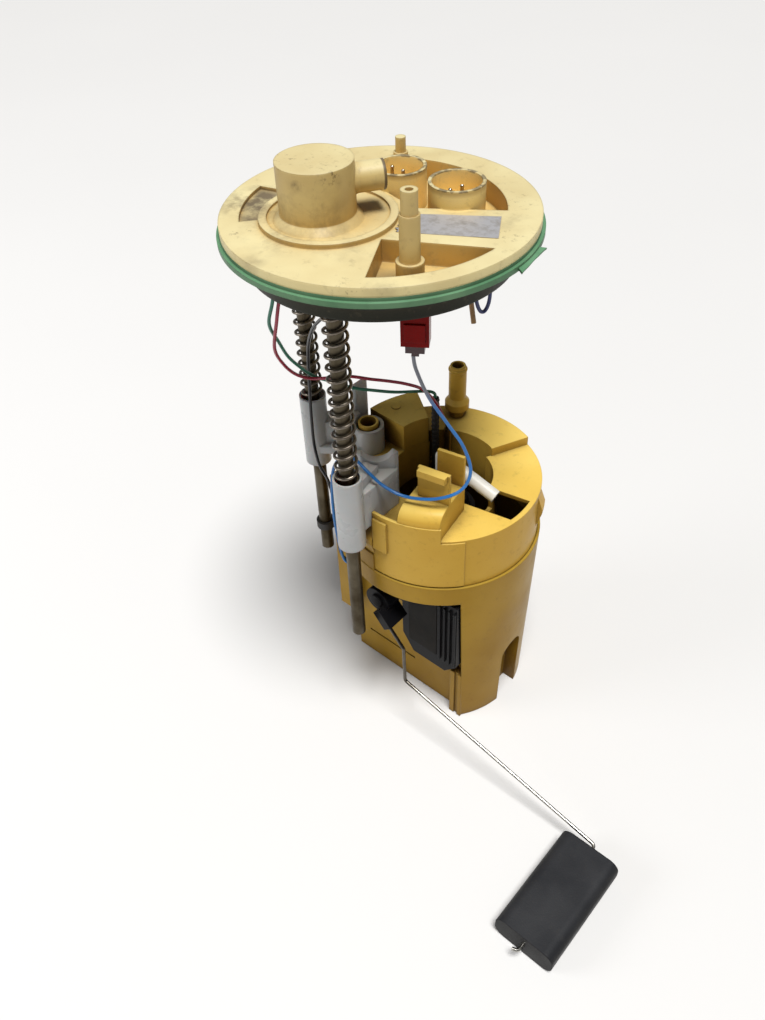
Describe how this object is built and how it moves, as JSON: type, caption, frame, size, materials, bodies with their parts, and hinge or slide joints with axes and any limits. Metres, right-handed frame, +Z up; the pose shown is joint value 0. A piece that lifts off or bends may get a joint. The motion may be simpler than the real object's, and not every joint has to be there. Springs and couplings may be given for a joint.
{
  "type": "fuel pump module",
  "caption": "In-tank fuel pump module: sealed flange with outlet and sockets on two sprung guide rods, fuel pot with pump, level sensor, arm and float.",
  "frame": {"origin": "on the pot's axis, at the underside of the pot, which stands on the tank's floor", "axes": "+Z up along the pot's axis and the guide rods, the sensor's flat faces -Y, the float arm reaches along +X"},
  "size_m": [0.2615, 0.1864, 0.3355],
  "materials": {
    "tan_plastic": "satin, oiled by fuel",
    "ivory_plastic": "matt, dirty",
    "white_plastic": "matt",
    "black_plastic": "matt",
    "float_foam": "matt, closed-cell",
    "red_plastic": "gloss",
    "seal_rubber": "matt",
    "black_rubber": "matt",
    "steel": "bright",
    "rod_steel": "stained",
    "spring_steel": "dull",
    "brass": "bright",
    "winding": "lacquered",
    "magnet": "sintered",
    "filter_cloth": "woven",
    "wire_green": "matt",
    "wire_red": "matt",
    "wire_black": "matt",
    "wire_blue": "matt",
    "wire_tan": "matt"
  },
  "bodies": {
    "pot": {"pot": "tan_plastic", "pot_cover": "tan_plastic", "front_bracket": "white_plastic", "rear_bracket": "white_plastic", "pump_can": "steel", "pump_inlet_cap": "black_plastic", "pump_outlet_cap": "black_plastic", "pump_magnets": "magnet", "pump_brushes": "magnet", "pump_mount": "black_rubber", "strainer": "filter_cloth", "foot_valve": "black_rubber", "jet_pump": "white_plastic", "nozzle_pipe": "white_plastic", "lead_sleeve": "black_plastic", "contact_lug": "steel", "sensor_body": "black_plastic", "sensor_card": "brass", "sensor_clip": "tan_plastic", "front_spring": "spring_steel", "rear_spring": "spring_steel", "green_wire": "wire_green", "red_wire": "wire_red", "black_wire": "wire_black", "blue_wire": "wire_blue"},
    "rotor": {"armature": "winding", "commutator": "brass", "rotor_shaft": "steel", "impeller": "black_plastic"},
    "check_ball": {"check_ball": "steel"},
    "flange": {"flange_plate": "ivory_plastic", "seal_ring": "seal_rubber", "front_terminals": "brass", "rear_terminals": "brass", "front_rod": "rod_steel", "rear_rod": "rod_steel", "stop_ring": "black_rubber", "red_connector": "red_plastic", "connector_tip": "red_plastic", "tan_lead": "wire_tan", "blue_stub": "wire_blue"},
    "float_arm": {"arm_hub": "black_plastic", "arm_wire": "steel", "wiper": "brass"},
    "float": {"float_block": "float_foam"}
  },
  "joints": [
    {"name": "flange_slide", "type": "slide", "parent": "pot", "child": "flange", "axis": [0, 0, 1], "range_m": [-0.05, 0.045], "stiffness_N_per_m": 600, "springref_m": 0.005, "deforming": ["front_spring", "rear_spring", "green_wire", "red_wire", "black_wire", "blue_wire"]},
    {"name": "float_arm_pivot", "type": "hinge", "parent": "pot", "child": "float_arm", "pos_m": [-0.0026, -0.047, 0.0944], "axis": [0, -1, 0], "range_deg": [0, 75]},
    {"name": "float_turn", "type": "hinge", "parent": "float_arm", "child": "float", "pos_m": [0.152, -0.093, 0.0093], "axis": [0, 1, 0], "continuous": true},
    {"name": "rotor_spin", "type": "hinge", "parent": "pot", "child": "rotor", "pos_m": [0, 0, 0.07], "axis": [0, 0, 1], "continuous": true},
    {"name": "check_ball_lift", "type": "slide", "parent": "pot", "child": "check_ball", "axis": [0, 0, 1], "range_m": [0, 0.0045]}
  ]
}
